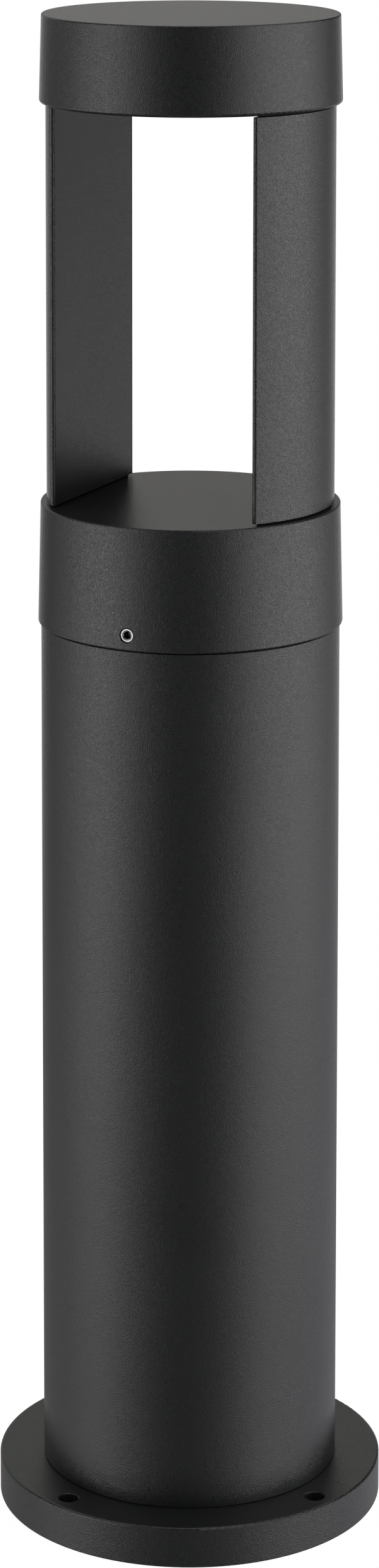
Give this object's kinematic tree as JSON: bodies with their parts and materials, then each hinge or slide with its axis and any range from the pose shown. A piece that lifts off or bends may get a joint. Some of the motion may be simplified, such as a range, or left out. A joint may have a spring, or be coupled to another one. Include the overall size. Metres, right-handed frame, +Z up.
{
  "type": "garden post light",
  "caption": "Round garden post light: a flanged post with a tapered collar and cap, curved uprights between them and a downward lamp in the cap.",
  "frame": {"origin": "centre of the flange's underside, where the light stands on the ground", "axes": "+Z up along the post, -Y towards the viewer of the picture, +X to the viewer's right; the ground bolt holes lie on the diagonals between X and Y"},
  "size_m": [0.1666, 0.1666, 0.65],
  "materials": {
    "anthracite_coat": "fine-textured satin powder coat on aluminium",
    "screw_steel": "plain stainless steel",
    "bare_alloy": "uncoated, fine turned or rolled",
    "black_rubber": "matte",
    "clear_glass": "clear, polished",
    "bright_reflector": "bright anodised",
    "white_mask": "white solder mask on an aluminium board",
    "white_plastic": "moulded, satin",
    "driver_case": "moulded, satin",
    "gland_plastic": "moulded, satin",
    "led_phosphor": "yellow phosphor under clear resin",
    "supply_sheath": "smooth",
    "earth_sheath": "smooth",
    "led_sheath": "matte",
    "pad_silicone": "soft, matte"
  },
  "bodies": {
    "root": {"base_flange": "anthracite_coat", "base_screws": "screw_steel", "entry_grommet": "black_rubber", "base_gasket": "black_rubber", "post_tube": "anthracite_coat", "post_adapter": "anthracite_coat", "adapter_screws": "screw_steel", "head_gasket": "black_rubber", "gear_tray": "bare_alloy", "tray_screws": "screw_steel", "led_driver": "driver_case", "driver_screws": "screw_steel", "terminal_block": "white_plastic", "terminal_screws": "screw_steel", "cable_gland": "gland_plastic", "gland_nut": "gland_plastic", "supply_leads": "supply_sheath", "earth_lead": "earth_sheath", "earth_screw": "screw_steel", "led_lead": "led_sheath", "collar": "anthracite_coat", "grub_screws": "screw_steel", "disc_grommet": "black_rubber", "left_foot_seal": "black_rubber", "right_foot_seal": "black_rubber", "left_upright": "anthracite_coat", "right_upright": "anthracite_coat", "foot_screws": "screw_steel", "left_head_seal": "black_rubber", "right_head_seal": "black_rubber", "lamp_carrier": "bare_alloy", "head_screws": "screw_steel", "carrier_grommet": "black_rubber", "cap_seal": "black_rubber", "top_cap": "anthracite_coat", "cap_screws": "screw_steel", "lens": "clear_glass", "lens_seal": "black_rubber", "lens_ring": "anthracite_coat", "lens_screws": "screw_steel", "reflector": "bright_reflector", "led_board": "white_mask", "led_chips": "led_phosphor", "board_connector": "white_plastic", "board_screws": "screw_steel", "thermal_pad": "pad_silicone"}
  },
  "joints": []
}
